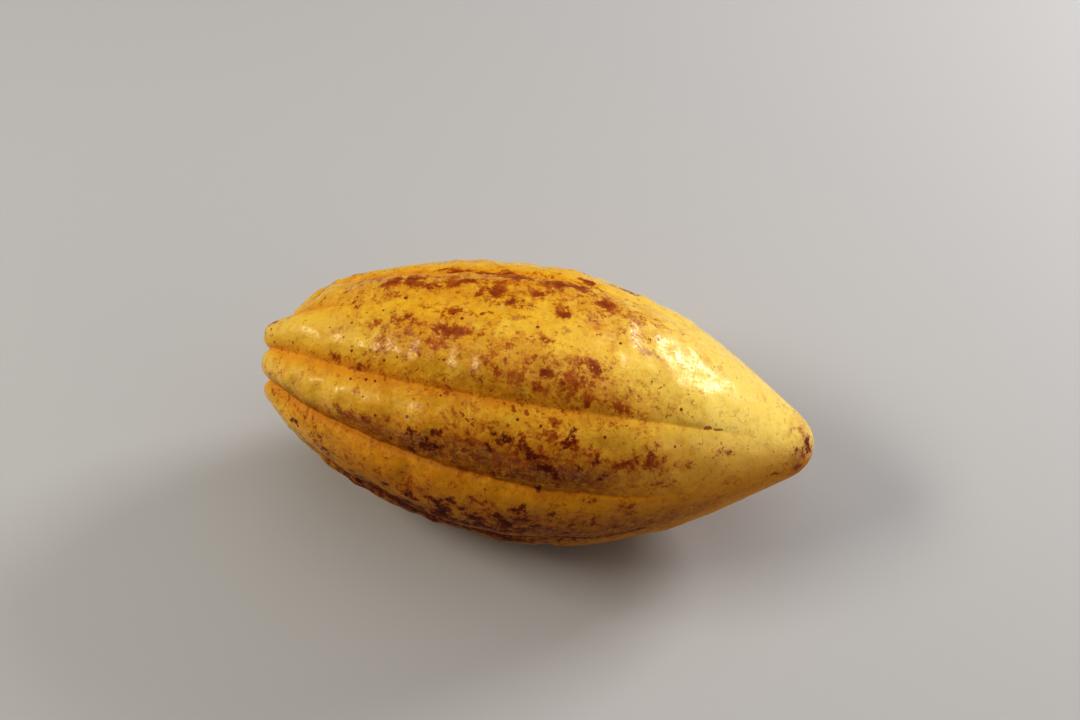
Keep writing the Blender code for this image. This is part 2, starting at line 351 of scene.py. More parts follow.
# The marks on the rind. Each row: along and angle of its middle, half its length
# and half its width in millimetres, and how solid it is.
RUSSET = [
    (46, -20, 3.0, 2.0, 0.8), (52, -14, 4.0, 1.3, 0.7), (40, -18, 4.0, 2.3, 0.6), (59, -31, 2.5, 2.0, 0.8),
    (60, -15, 1.4, 1.2, 0.9), (64, -17, 3.0, 1.3, 0.7), (68, -10, 1.6, 1.2, 0.7), (68, -28, 2.4, 1.8, 1.0),
    (73, -11, 2.4, 2.6, 0.85), (75, -29, 3.5, 1.3, 1.0), (80, -24, 3.0, 1.8, 0.8), (79, -6, 3.2, 1.6, 0.85),
    (86, -13, 2.2, 1.1, 0.7), (90, -24, 2.8, 2.2, 1.0), (97, -25, 3.2, 1.9, 0.95),
    (100, -34, 2.4, 2.0, 0.9), (107, -17, 2.8, 2.4, 0.8), (95, -4, 1.6, 1.3, 0.9), (60, 10, 4.0, 1.3, 0.85),
    (62, 0, 3.2, 1.6, 0.55), (71, 1, 2.6, 1.0, 0.5), (47, 6, 3.2, 1.5, 0.55), (54, -35, 2.5, 0.9, 0.9),
    (92, 9, 2.0, 1.1, 0.65), (93, 22, 1.8, 1.6, 1.0), (107, 17, 1.7, 1.8, 1.0), (91, 28, 1.2, 1.1, 0.8),
    (104, 15, 2.8, 0.9, 0.5), (79, 25, 1.6, 1.1, 0.6), (98, 24, 1.3, 1.2, 0.5), (102, 24, 2.6, 1.9, 0.45),
    (117, 31, 3.2, 1.4, 0.6), (106, 30, 1.2, 1.0, 0.9), (12, -32, 1.5, 1.0, 0.9), (4, -3, 1.4, 1.0, 0.7),
    (3, 4, 1.5, 1.1, 0.6), (28, 26, 3.2, 1.0, 0.5), (36, 30, 2.2, 1.0, 0.6), (128, 51, 2.4, 2.8, 0.7),
    (118, 55, 2.3, 1.6, 0.7), (123, 54, 2.2, 1.4, 0.6), (138, 55, 2.8, 1.0, 0.5), (124, 78, 1.7, 2.1, 0.6),
    (149, 45, 2.6, 1.3, 0.7), (133, 65, 3.0, 0.9, 0.4), (154, 70, 3.0, 1.0, 0.5), (72, 65, 2.0, 1.2, 0.5),
    (75, 53, 3.8, 1.0, 0.6), (33, 54, 3.0, 1.3, 0.6), (40, 54, 1.4, 1.0, 0.6), (78, 79, 3.2, 0.9, 0.6),
    (167, 75, 2.0, 0.9, 0.7), (174, 73, 1.5, 1.1, 0.8), (175, 52, 1.4, 1.4, 0.7), (98, 43, 3.3, 2.3, 0.6),
    (106, 49, 1.8, 2.3, 0.6),
]
SCABS_AND_RIM_SHADE = [
    (14, 79, 2.2, 0.8, 0.8), (23, 77, 1.8, 0.8, 0.8), (27, 85, 2.4, 0.9, 0.9), (19, 86, 2.0, 0.7, 0.7),
    (30, 90, 2.2, 0.9, 0.8), (45, 99, 3.0, 1.8, 1.0), (41, 104, 3.0, 2.0, 0.9), (56, 64, 1.6, 1.3, 1.0),
    (61, 59, 3.0, 1.3, 1.0), (65, 58, 2.6, 0.9, 0.9), (60, 55, 1.1, 1.3, 0.8), (56, 53, 1.5, 1.5, 0.85),
    (63, 52, 2.0, 1.3, 0.9), (53, 58, 1.5, 1.1, 0.8), (50, 60, 1.0, 1.1, 0.8), (72, 57, 1.3, 1.0, 0.8),
    (84, 49, 3.2, 2.0, 0.95), (80, 54, 1.1, 1.3, 0.8), (90, 50, 2.0, 1.5, 0.85), (93, 54, 3.0, 1.5, 0.85),
    (97, 58, 3.0, 1.8, 1.0), (96, 69, 1.3, 1.3, 0.8), (86, 65, 1.2, 0.9, 0.7), (83, 65, 1.3, 0.9, 0.7),
    (101, 49, 1.8, 1.8, 0.7), (103, 44, 1.2, 2.4, 0.9), (112, 53, 1.2, 1.2, 0.95), (107, 57, 1.3, 1.1, 0.8),
    (114, 61, 1.1, 1.0, 0.85), (101, 61, 1.2, 1.1, 0.8), (102, 65, 1.1, 1.6, 0.7), (32, 100, 1.0, 0.9, 0.9),
    (38, 97, 2.0, 0.9, 0.8), (48, 89, 1.3, 1.2, 1.0), (41, 104, 2.6, 1.0, 0.8), (55, 89, 1.6, 1.7, 1.0),
    (50, 106, 5.0, 1.2, 1.0), (65, 86, 2.6, 2.1, 1.0), (70, 83, 1.4, 2.1, 1.0), (66, 96, 3.8, 1.7, 1.0),
    (77, 91, 2.6, 2.2, 1.0), (84, 86, 2.0, 1.9, 1.0), (87, 91, 3.2, 2.8, 1.0), (50, 105, 3.4, 2.8, 1.0),
    (54, 99, 3.0, 2.4, 1.0), (59, 101, 2.2, 1.5, 0.9), (67, 92, 2.8, 2.4, 1.0), (80, 97, 3.0, 1.8, 0.95),
    (96, 92, 2.4, 1.7, 0.9), (93, 96, 3.4, 1.4, 0.8), (36, 92, 1.1, 0.9, 0.7), (58, 91, 1.1, 0.9, 0.8),
    (73, 87, 1.2, 1.0, 0.8), (108, 88, 1.8, 1.3, 0.6), (120, 92, 2.6, 1.6, 0.5), (89, 81, 1.6, 1.2, 0.9),
    (92, 79, 1.4, 2.2, 0.85), (92, 86, 2.0, 1.8, 0.8), (101, 82, 1.4, 1.5, 0.7), (68, 100, 7.0, 1.5, 0.9),
    (77, 99, 5.0, 1.5, 0.85), (88, 99, 5.0, 1.4, 0.8), (114, 85, 2.3, 2.3, 0.5), (102, 93, 2.2, 1.2, 0.6),
    # The four long rows along the lower rim, at angles 104 to 112, are painted shade.
    (105, 97, 5.0, 1.0, 0.7), (124, 100, 7.0, 1.4, 0.7), (35, 111, 10, 2.2, 0.8), (58, 112, 14, 2.8, 0.9),
    (84, 111, 14, 2.8, 0.9), (108, 104, 10, 2.2, 0.8), (173, 42, 1.3, 1.3, 1.0), (176, 25, 1.0, 2.4, 0.9),
]
SCUFFS = [
    (117, -4, 2.6, 2.2, 0.75), (121, 2, 2.0, 1.8, 0.6), (96, 2, 2.3, 1.3, 0.9), (102, -5, 3.0, 2.4, 0.6),
    (82, 1, 3.4, 1.6, 0.8), (60, 17, 2.7, 1.8, 0.9), (42, 10, 2.0, 1.9, 0.7), (28, 12, 2.4, 1.3, 0.7),
    (44, 18, 2.9, 2.3, 0.7), (51, 13, 2.5, 1.7, 0.6), (14, 50, 4.0, 2.0, 0.7), (115, -13, 4.3, 2.0, 1.0),
    (121, 2, 4.0, 1.4, 0.9), (137, -9, 1.0, 2.8, 0.6), (144, -10, 1.4, 2.8, 0.7), (138, 13, 2.6, 1.0, 0.7),
    (137, 20, 2.0, 1.0, 0.7), (173, 5, 2.6, 1.2, 1.0), (175, 8, 1.5, 2.0, 0.9), (174, -29, 1.4, 1.1, 0.6),
    (165, -15, 1.2, 1.0, 0.7), (167, -10, 1.0, 1.2, 0.6),
]
# Wider areas that are dusted with small specks of the same kinds.
DUSTED = [
    (76, 23, 34, 8, 0.24), (112, 24, 18, 6, 0.26), (22, 72, 20, 5, 0.40), (56, 84, 28, 6, 0.40),
    (20, 30, 16, 6, 0.20), (26, -16, 18, 7, 0.28), (62, 14, 18, 6, 0.36), (72, -20, 40, 10, 0.66),
    (50, 12, 16, 6, 0.36), (95, 20, 17, 7, 0.42), (88, 52, 38, 9, 0.52), (78, 90, 42, 7, 0.42),
    (40, 57, 16, 4, 0.36), (118, 28, 22, 4, 0.30), (130, 70, 22, 10, 0.26), (172, 45, 6, 20, 0.34),
    (110, -8, 14, 7, 0.40), (8, 60, 8, 6, 0.30), (70, 35, 30, 3, 0.22),
]
# Soft brown stains, partly real and partly painted shade, in the lee of the ridges.
STAINS_AND_SHADE = [
    (62, 61, 16, 4.5, 0.75), (86, 61, 20, 5.5, 0.88), (106, 63, 14, 5.0, 0.75), (44, 60, 8, 2.6, 0.60),
    (86, 58, 14, 4.0, 0.60), (70, 103, 30, 5.0, 0.75), (105, 100, 20, 4.0, 0.70), (36, 103, 12, 4.0, 0.50),
    (92, 88, 16, 5.0, 0.45), (40, 117, 26, 7.0, 0.80), (85, 115, 34, 7.0, 0.80), (125, 96, 20, 5.0, 0.60),
    (116, 90, 24, 6.0, 0.50), (150, 88, 16, 5.0, 0.40), (22, 60, 10, 2.0, 0.35), (88, 30, 16, 2.6, 0.35),
    (70, 28, 16, 3.4, 0.24), (100, 29, 16, 3.0, 0.20), (176, 60, 4, 14, 0.35),
]
# The back and the underside carry marks of the same kinds.
UNSEEN_PATCHES = 70
UNSEEN_DUSTED = 9
UNSEEN_KINDS = (0.55, 0.25, 0.20)  # the shares of russet, scabs and scuffs
UNSEEN_ALONG, UNSEEN_ANGLES = (12.0, 150.0), (112.0, 318.0)
UNSEEN_HALF_LENGTHS, UNSEEN_HALF_WIDTHS = (1.2, 4.5), (1.0, 2.2)
DUSTED_ALONG, DUSTED_ANGLES = (20.0, 140.0), (120.0, 310.0)
DUSTED_SIZES_AND_SOLID = (26.0, 9.0, 0.36)
# How many millimetres the edges of the marks wander, and over what span.
RAGGED, RAGGED_DUST, RAGGED_STAIN_AND_SHADE = 1.3, 3.0, 1.5
RAGGED_SPAN = 2.6
MARK_THROUGH = 14.0  # a mark is on its own side of the pod, not right through it
MARK_FALL = 0.69  # a mark covers half as much at its half length or half width


def place_on_pod(along, angle):
    """The point in millimetres at a distance from the stalk end and an angle from the top."""
    angle, radius = math.radians(angle), outer_radius(along)
    return np.array([along, -radius * math.sin(angle), radius * math.cos(angle)])


def cover(patches, ragged):
    """How much patches cover each point of the husk, from 0 to 1."""
    wobble = np.stack([noise_at(base, RAGGED_SPAN, shift) for shift in (4.0, 14.0, 24.0)], axis=1)
    moved = base + ragged * wobble
    bare = np.ones(len(base))
    for along, angle, half_length, half_width, solid in patches:
        offset = moved - place_on_pod(along, angle)
        turned = math.radians(angle)
        outward = offset @ (0.0, -math.sin(turned), math.cos(turned))
        across = offset @ (0.0, math.cos(turned), math.sin(turned))
        reach = (offset[:, 0] / half_length) ** 2 + (across / half_width) ** 2
        covered = np.where(np.abs(outward) < MARK_THROUGH, np.exp(-MARK_FALL * reach), 0.0)
        bare *= 1.0 - solid * covered
    return 1.0 - bare


draw = np.random.default_rng(7)
unseen = [[], [], []]
for _ in range(UNSEEN_PATCHES):
    along, angle = draw.uniform(*UNSEEN_ALONG), draw.uniform(*UNSEEN_ANGLES)
    half_length, half_width = draw.uniform(*UNSEEN_HALF_LENGTHS), draw.uniform(*UNSEEN_HALF_WIDTHS)
    kind = draw.choice(3, p=UNSEEN_KINDS)
    unseen[kind].append((along, angle, half_length, half_width, draw.uniform(0.5, 1.0)))
behind = []
for _ in range(UNSEEN_DUSTED):
    along, angle = draw.uniform(*DUSTED_ALONG), draw.uniform(*DUSTED_ANGLES)
    behind.append((along, angle, *DUSTED_SIZES_AND_SOLID))

# Down its sides the skin is less waxy and has painted shade, more orange: from which angle,
# on the front and on the back, over how many degrees, and how much of that by the stalk.
SIDE_FROM_FRONT, SIDE_FROM_BACK, SIDE_TURN = 14.0, 44.0, 74.0
SIDE_BY_STALK, SIDE_WHOLE_AT = 0.3, 50.0
from_top = (degrees + 180.0) % 360.0 - 180.0
side_from = np.where(from_top > 0.0, SIDE_FROM_FRONT, SIDE_FROM_BACK)
low_side = smooth((np.abs(from_top) - side_from) / SIDE_TURN)
low_side *= mix(SIDE_BY_STALK, 1.0, smooth(base[:, 0] / SIDE_WHOLE_AT))
marks = {
    "russet": cover(RUSSET + unseen[0], RAGGED),
    "scab_and_shade": cover(SCABS_AND_RIM_SHADE + unseen[1], RAGGED),
    "scuff": cover(SCUFFS + unseen[2], RAGGED),
    "dust": cover(DUSTED + behind, RAGGED_DUST),
    "stain_and_shade": cover(STAINS_AND_SHADE, RAGGED_STAIN_AND_SHADE),
    "low_side": low_side,
    "gap": gap,
    "valley": valley,
    "inward": inward,
}
for name, values in marks.items():
    husk_mesh.attributes.new(name, "FLOAT", "POINT").data.foreach_set("value", values.astype(np.float32))
for name, values in {"place": base, "grain": grain}.items():
    attribute = husk_mesh.attributes.new(name, "FLOAT_VECTOR", "POINT")
    attribute.data.foreach_set("vector", values.astype(np.float32).ravel())

husk = bpy.data.objects.new("husk", husk_mesh)
bpy.context.scene.collection.objects.link(husk)
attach(husk, "root")
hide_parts("cacao_pod")


class Tree:
    """One tree of shader nodes; a value is a number, a colour or another node's output."""

    def __init__(self, tree):
        self.tree = tree

    def node(self, kind, inputs=None, **settings):
        """A new node; its inputs go by the names or numbers of their sockets."""
        made = self.tree.nodes.new("ShaderNode" + kind)
        for name, value in settings.items():
            setattr(made, name, value)
        for socket, value in (inputs or {}).items():
            self.put(made.inputs[socket], value)
        return made

    def put(self, socket, value):
        if isinstance(value, bpy.types.NodeSocket):
            self.tree.links.new(value, socket)
        else:
            socket.default_value = value

    def sum(self, first, second):
        return self.node("Math", {0: first, 1: second}, operation="ADD").outputs[0]

    def times(self, first, second):
        return self.node("Math", {0: first, 1: second}, operation="MULTIPLY").outputs[0]

    def divided(self, first, second):
        return self.node("Math", {0: first, 1: second}, operation="DIVIDE").outputs[0]

    def most(self, first, second):
        return self.node("Math", {0: first, 1: second}, operation="MAXIMUM").outputs[0]

    def rest(self, share):
        return self.node("Math", {0: 1.0, 1: share}, operation="SUBTRACT").outputs[0]

    def step(self, value, low, high):
        """0 below low, 1 above high, smooth between; low may be above high."""
        made = self.node("MapRange", {"Value": value, "From Min": low, "From Max": high})
        made.interpolation_type = "SMOOTHSTEP"
        return made.outputs["Result"]

    def noise(self, place, span, detail, rough):
        """Smooth noise around 0.5, with lumps about one span apart."""
        inputs = {"Vector": place, "Scale": 1.0 / span, "Detail": detail, "Roughness": rough}
        return self.node("TexNoise", inputs).outputs["Fac"]

    def areas(self, place, shift, span, low, high, detail=2.0, rough=0.5):
        """Loose areas about one span across: 1 where the noise is over high, 0 under low."""
        return self.step(self.noise(self.shifted(place, shift), span, detail, rough), low, high)

    def shifted(self, place, shift):
        return self.node("VectorMath", {0: place, 1: shift}, operation="ADD").outputs[0]

    def stretched(self, place, sizes):
        return self.node("VectorMath", {0: place, 1: sizes}, operation="DIVIDE").outputs[0]

    def stirred(self, place, span, amount):
        """The place, pushed about by noise."""
        swirls = self.node("TexNoise", {"Vector": place, "Scale": 1.0 / span, "Detail": 2.0})
        even = self.shifted(swirls.outputs["Color"], (-0.5, -0.5, -0.5))
        pushed = self.node("VectorMath", {0: even, "Scale": amount}, operation="SCALE").outputs[0]
        return self.shifted(place, pushed)

    def colour(self, share, under, over):
        made = self.node("Mix", {0: share, 6: under, 7: over}, data_type="RGBA")
        return made.outputs[2]

    def marked(self, under, mask, solid, over):
        """The colour under, with another over it where the mask is, and how solid that is."""
        return self.colour(self.times(mask, solid), under, over)

    def attribute(self, name, kind="Fac"):
        return self.node("Attribute", attribute_name=name).outputs[kind]

    def group(self, made_group, inputs):
        made = self.node("Group", node_tree=made_group)
        for name, value in inputs.items():
            self.put(made.inputs[name], value)
        return made


def shader_group(name, inputs, outputs):
    """An empty group; inputs and outputs are pairs of a name and a socket type."""
    made = bpy.data.node_groups.new(name, "ShaderNodeTree")
    for socket, kind in inputs:
        made.interface.new_socket(socket, in_out="INPUT", socket_type="NodeSocket" + kind)
    for socket, kind in outputs:
        made.interface.new_socket(socket, in_out="OUTPUT", socket_type="NodeSocket" + kind)
    given = made.nodes.new("NodeGroupInput").outputs
    result = made.nodes.new("NodeGroupOutput").inputs
    return made, Tree(made), given, result


# The grit of the rind: uneven values that patches break up by at their edges, some
# above and some below nought.
COARSE_GRIT, COARSE_GRIT_SPAN = 2.5, 2.2
FINE_GRIT, FINE_GRIT_SPAN = 0.95, 0.85
GRIT_LEVEL = -1.78
grit_group, tree, given, result = shader_group("rind grit", [("Place", "Vector")], [("Grit", "Float")])
coarse = tree.noise(given["Place"], COARSE_GRIT_SPAN, 3.0, 0.66)
fine = tree.noise(tree.shifted(given["Place"], (9.0, 2.0, 5.0)), FINE_GRIT_SPAN, 1.0, 0.6)
uneven = tree.sum(tree.times(coarse, COARSE_GRIT), tree.times(fine, FINE_GRIT))
tree.put(result["Grit"], tree.sum(uneven, GRIT_LEVEL))

# Patches with fuzzy, speckled edges: solid where the cover is near 1, loose
# specks where it is low.
specks, tree, given, result = shader_group(
    "speckled patches", [("Grit", "Float"), ("Cover", "Float")], [("Mask", "Float"), ("Halo", "Float")]
)
level = tree.sum(given["Cover"], given["Grit"])
tree.put(result["Mask"], tree.step(level, 0.32, 0.88))
tree.put(result["Halo"], tree.times(tree.step(level, 0.10, 0.70), tree.step(given["Cover"], 0.02, 0.30)))

# Round dots, one at most in each cell, some left out, each with a soft ring.
dots, tree, given, result = shader_group(
    "pin dots",
    [("Place", "Vector"), ("Spacing", "Float"), ("Size", "Float"), ("Share", "Float")],
    [("Mask", "Float"), ("Ring", "Float")],
)
closeness = tree.divided(1.0, given["Spacing"])
stirred = tree.stirred(given["Place"], 1.2, 0.5)
cells = tree.node("TexVoronoi", {"Vector": stirred, "Scale": closeness})
distance = tree.times(cells.outputs["Distance"], given["Spacing"])
chance = tree.node("SeparateColor", {"Color": cells.outputs["Color"]})
chosen = tree.node("Math", {0: chance.outputs[0], 1: given["Share"]}, operation="LESS_THAN").outputs[0]
size = tree.times(given["Size"], tree.sum(tree.times(chance.outputs[1], 0.8), 0.5))
from_middle = tree.divided(distance, size)
tree.put(result["Mask"], tree.times(chosen, tree.step(from_middle, 1.15, 0.75)))
tree.put(result["Ring"], tree.times(chosen, tree.step(from_middle, 2.6, 1.2)))

# Hair cracks: a loose net of thin lines, here and there.
cracks, tree, given, result = shader_group(
    "hair cracks",
    [("Place", "Vector"), ("Spacing", "Float"), ("Width", "Float"), ("Share", "Float")],
    [("Mask", "Float")],
)
closeness = tree.divided(1.0, given["Spacing"])
stirred = tree.stirred(tree.stirred(given["Place"], 5.0, 5.0), 1.1, 0.7)
net = tree.node("TexVoronoi", {"Vector": stirred, "Scale": closeness}, feature="DISTANCE_TO_EDGE")
from_edge = tree.times(net.outputs["Distance"], given["Spacing"])
from_line = tree.divided(from_edge, given["Width"])
where = tree.noise(tree.shifted(given["Place"], (5.0, 60.0, 7.0)), 6.0, 3.0, 0.6)
present = tree.step(tree.sum(where, given["Share"]), 0.95, 1.08)
tree.put(result["Mask"], tree.times(present, tree.step(from_line, 1.0, 0.3)))

# A short drawn mark, from one point to another; a dot when both are the same.
SHORTEST_SQUARED = 1e-6  # keeps a dot from dividing by nought
drawn, tree, given, result = shader_group(
    "drawn mark",
    [("Place", "Vector"), ("From", "Vector"), ("To", "Vector"), ("Width", "Float")],
    [("Mask", "Float")],
)


def of_vectors(operation, first, second, output=0):
    return tree.node("VectorMath", {0: first, 1: second}, operation=operation).outputs[output]


reach = of_vectors("SUBTRACT", given["To"], given["From"])
offset = of_vectors("SUBTRACT", given["Place"], given["From"])
length_squared = tree.most(of_vectors("DOT_PRODUCT", reach, reach, 1), SHORTEST_SQUARED)
walked_share = tree.node("Math", {0: of_vectors("DOT_PRODUCT", offset, reach, 1), 1: length_squared})
walked_share.operation = "DIVIDE"
walked_share.use_clamp = True
on_line = tree.node("VectorMath", {0: reach, "Scale": walked_share.outputs[0]}, operation="SCALE")
away = of_vectors("SUBTRACT", offset, on_line.outputs[0])
away = tree.node("VectorMath", {0: away}, operation="LENGTH").outputs[1]
tree.put(result["Mask"], tree.step(tree.divided(away, given["Width"]), 1.2, 0.6))

# The rind's fine bumps: low pebbles and a finer tooth, with heights in millimetres.
PEBBLE, PEBBLE_SPAN = 0.34, 1.7
TOOTH, TOOTH_SPAN = 0.07, 0.45
pebbles, tree, given, result = shader_group(
    "rind pebbles", [("Place", "Vector"), ("Strength", "Float")], [("Height", "Float")]
)
stones = tree.noise(given["Place"], PEBBLE_SPAN, 2.0, 0.5)
tooth = tree.noise(tree.shifted(given["Place"], (3.0, 3.0, 8.0)), TOOTH_SPAN, 2.0, 0.6)
height = tree.sum(tree.times(stones, PEBBLE), tree.times(tooth, TOOTH))
tree.put(result["Height"], tree.times(height, given["Strength"]))

# The skin: yellow with painted shade, more orange in the furrows and low down, and paler
# at the tip, under thin brown scurf, russet, stains and dark scabs that are partly painted shade,
# dots, scratches and cracks. A worn coat of wax lies over it, but not over rough marks, in the furrows or
# low down.
GOLD = (0.80, 0.525, 0.050, 1.0)
DEEP_GOLD = (0.76, 0.440, 0.027, 1.0)
PALE_GOLD = (0.87, 0.685, 0.170, 1.0)
LOW_SHADE_ORANGE = (0.67, 0.295, 0.012, 1.0)
FURROW_SHADE_ORANGE = (0.73, 0.330, 0.014, 1.0)
SCURF_TAN = (0.52, 0.165, 0.008, 1.0)
SCUFF_PINK = (0.40, 0.130, 0.040, 1.0)
RUSSET_RED = (0.23, 0.035, 0.003, 1.0)
RUSSET_BROWN = (0.39, 0.100, 0.006, 1.0)
SCAB_AND_SHADE_RED = (0.17, 0.021, 0.002, 1.0)
SCAB_AND_SHADE_BROWN = (0.060, 0.007, 0.001, 1.0)
DOT_BROWN = (0.20, 0.029, 0.003, 1.0)
DASH_RED = (0.27, 0.047, 0.004, 1.0)
STAIN_AND_SHADE_BROWN = (0.22, 0.052, 0.004, 1.0)
SKIN_ROUGHNESS = 0.50
MARKS_ROUGHER = 0.15
WAX_ROUGHNESS = 0.28
WAX, WAX_GRIT = 1.3, 0.8
PALE_FROM, PALE_WHOLE_AT = 78.0, 148.0  # paler towards the tip, from here to there
STALK_PALE_FROM, STALK_PALE_WHOLE_AT, STALK_PALE = 60.0, 15.0, 0.35  # and at the other end
skin = bpy.data.materials.new("ripe_skin_coat")
skin.use_nodes = True
skin.node_tree.nodes.clear()
tree = Tree(skin.node_tree)
place = tree.attribute("place", "Vector")
grain_place = tree.attribute("grain", "Vector")
furrow = tree.attribute("valley")
russet_cover, scab_and_shade_cover = tree.attribute("russet"), tree.attribute("scab_and_shade")
scuff_cover, dust_cover = tree.attribute("scuff"), tree.attribute("dust")
from_furrow, into_hollow = tree.attribute("gap"), tree.attribute("inward")
low_side = tree.attribute("low_side")
along_pod = tree.node("SeparateXYZ", {0: place}).outputs[0]

# The yellow itself, mottled.
cloudy = tree.noise(place, 20.0, 3.0, 0.5)
blotchy = tree.noise(tree.shifted(place, (40.0, 0.0, 9.0)), 5.0, 4.0, 0.6)
mottled = tree.sum(tree.times(cloudy, 0.6), tree.times(blotchy, 0.5))
yellow = tree.colour(tree.step(mottled, 0.40, 0.68), DEEP_GOLD, GOLD)
stalk_pale = tree.times(tree.step(along_pod, STALK_PALE_FROM, STALK_PALE_WHOLE_AT), STALK_PALE)
paler_ends = tree.most(tree.step(along_pod, PALE_FROM, PALE_WHOLE_AT), stalk_pale)
pale = tree.times(paler_ends, tree.times(tree.rest(low_side), 0.85))
pale_spots = tree.areas(place, (0.0, 70.0, 3.0), 6.5, 0.52, 0.72, 3.0, 0.6)
pale = tree.most(pale, tree.times(pale_spots, 0.4))
yellow = tree.colour(pale, yellow, PALE_GOLD)
# Painted shade: the sides are more orange low down.
yellow = tree.marked(yellow, low_side, 0.85, LOW_SHADE_ORANGE)
# Painted shade: the deep furrows are more orange.
yellow = tree.marked(yellow, tree.step(furrow, 0.15, 0.85), 0.78, FURROW_SHADE_ORANGE)

# Thin tan scurf, in specks and in soft wide areas.
grit = tree.group(grit_group, {"Place": place}).outputs[0]
other_grit = tree.group(grit_group, {"Place": tree.shifted(place, (17.0, 8.0, 2.0))}).outputs[0]
clusters = tree.areas(place, (90.0, 4.0, 4.0), 6.0, 0.48, 0.68, 3.0, 0.55)
clusters = tree.times(clusters, tree.step(along_pod, 160.0, 90.0))
dusty = tree.sum(tree.times(dust_cover, 1.1), tree.times(clusters, 0.38))
scurf = tree.group(specks, {"Grit": other_grit, "Cover": dusty})
scurf_soft = tree.noise(tree.shifted(place, (1.0, 5.0, 50.0)), 4.2, 4.0, 0.65)
scurf_wide = tree.step(tree.sum(scurf_soft, tree.times(dust_cover, 0.42)), 0.50, 0.78)
scurf_mask = tree.most(tree.times(scurf.outputs[0], 0.62), tree.times(scurf_wide, 0.36))
skin_colour = tree.colour(scurf_mask, yellow, SCURF_TAN)

# Brown stains, partly painted shade, and pinkish scuffs.
stain_and_shade_mask = tree.times(tree.attribute("stain_and_shade"), tree.sum(0.82, tree.times(other_grit, 0.9)))
skin_colour = tree.colour(stain_and_shade_mask, skin_colour, STAIN_AND_SHADE_BROWN)
scuff = tree.group(specks, {"Grit": other_grit, "Cover": scuff_cover})
skin_colour = tree.marked(skin_colour, scuff.outputs[0], 0.62, SCUFF_PINK)

# Russet, redder where it is thick, in a thin brown halo.
russet_all = tree.sum(russet_cover, tree.times(dust_cover, tree.sum(0.45, tree.times(clusters, 0.8))))
russet = tree.group(specks, {"Grit": grit, "Cover": russet_all})
skin_colour = tree.marked(skin_colour, russet.outputs[1], 0.62, RUSSET_BROWN)
russet_tone = tree.sum(tree.times(other_grit, 0.7), tree.times(russet_cover, 0.6))
russet_colour = tree.colour(tree.step(russet_tone, -0.05, 0.60), RUSSET_BROWN, RUSSET_RED)
skin_colour = tree.marked(skin_colour, russet.outputs[0], 0.92, russet_colour)

# Dark scabs, nearly black in the middle, and painted shade in long rows along the lower rim.
scab_and_shade = tree.group(specks, {"Grit": grit, "Cover": scab_and_shade_cover})
skin_colour = tree.marked(skin_colour, scab_and_shade.outputs[1], 0.65, RUSSET_RED)
scab_and_shade_tone = tree.step(tree.sum(scab_and_shade_cover, tree.times(other_grit, 0.8)), 0.55, 1.15)
scab_and_shade_colour = tree.colour(scab_and_shade_tone, SCAB_AND_SHADE_RED, SCAB_AND_SHADE_BROWN)
skin_colour = tree.marked(skin_colour, scab_and_shade.outputs[0], 0.94, scab_and_shade_colour)

# Freckles in loose areas, and pin dots all over.
freckles = tree.group(dots, {"Place": place, "Spacing": 1.7, "Size": 0.24, "Share": 0.5})
freckle_mask = tree.times(freckles.outputs[0], tree.areas(place, (33.0, 3.0, 3.0), 9.0, 0.38, 0.62))
skin_colour = tree.marked(skin_colour, freckle_mask, 0.55, RUSSET_RED)
pins = tree.group(dots, {"Place": place, "Spacing": 7.5, "Size": 0.30, "Share": 0.45})
skin_colour = tree.marked(skin_colour, pins.outputs[1], 0.18, RUSSET_BROWN)
skin_colour = tree.colour(pins.outputs[0], skin_colour, DOT_BROWN)

# Scratches along the ridges, and hair cracks.
scratch_place = tree.stretched(tree.stirred(grain_place, 6.0, 1.5), (9.0, 0.75, 0.75))
scratches = tree.noise(scratch_place, 1.0, 2.0, 0.5)
scratch_area = tree.areas(place, (8.0, 50.0, 8.0), 11.0, 0.45, 0.65)
scratch_mask = tree.times(tree.step(scratches, 0.66, 0.74), scratch_area)
skin_colour = tree.marked(skin_colour, scratch_mask, 0.42, SCURF_TAN)
net = tree.group(cracks, {"Place": place, "Spacing": 5.5, "Width": 0.13, "Share": 0.43})
skin_colour = tree.marked(skin_colour, net.outputs[0], 0.45, RUSSET_BROWN)

# Single dark dots: along, angle and half the width. Dashes have these for both ends.
DOTS = [
    (25, -15, 0.54), (30, -9, 0.36), (46, -6, 0.72), (40, 1, 0.42), (31, 8, 0.48), (24, 10, 0.36),
    (33, 23, 0.54), (44, 26, 0.48), (48, 24, 0.36), (5, 6, 0.42), (5, 17, 0.42), (34, 37, 0.48),
    (39, 36, 0.54), (42, 36, 0.48), (63, 37, 0.36), (54, 48, 0.60), (44, 51, 0.42), (65, 4, 0.60),
    (62, 2, 0.54), (88, 4, 0.60), (113, 2, 0.54), (134, 25, 0.60), (113, 43, 0.54), (134, 44, 0.48),
    (87, 41, 0.54), (94, 42, 0.54), (32, 99, 0.72),
]
DASHES = [
    (71, 26.0, 72, 27.5, 0.20), (74, 28.0, 75, 29.5, 0.24), (89, 31.0, 90, 32.0, 0.25),
    (85, 36.5, 85.6, 38.0, 0.62), (89, 37.5, 89.5, 38.5, 0.60), (82, 35.5, 82.6, 36.2, 0.35),
    (79, 32.0, 80, 32.8, 0.20), (38, 15.0, 37, 17.0, 0.20), (55, 27.5, 54, 29.0, 0.22),
    (142.0, 31.9, 143.8, 31.4, 0.50), (145.2, 31.7, 147.6, 31.1, 0.40), (70.0, 42.2, 70.8, 43.0, 0.45),
    (72.0, 44.0, 72.8, 44.8, 0.42), (73.6, 45.6, 74.2, 46.2, 0.40), (127, 17.0, 126, 18.5, 0.20),
    (117, 37.0, 119, 37.0, 0.24), (106, -18.0, 106, -15.5, 0.20),
]


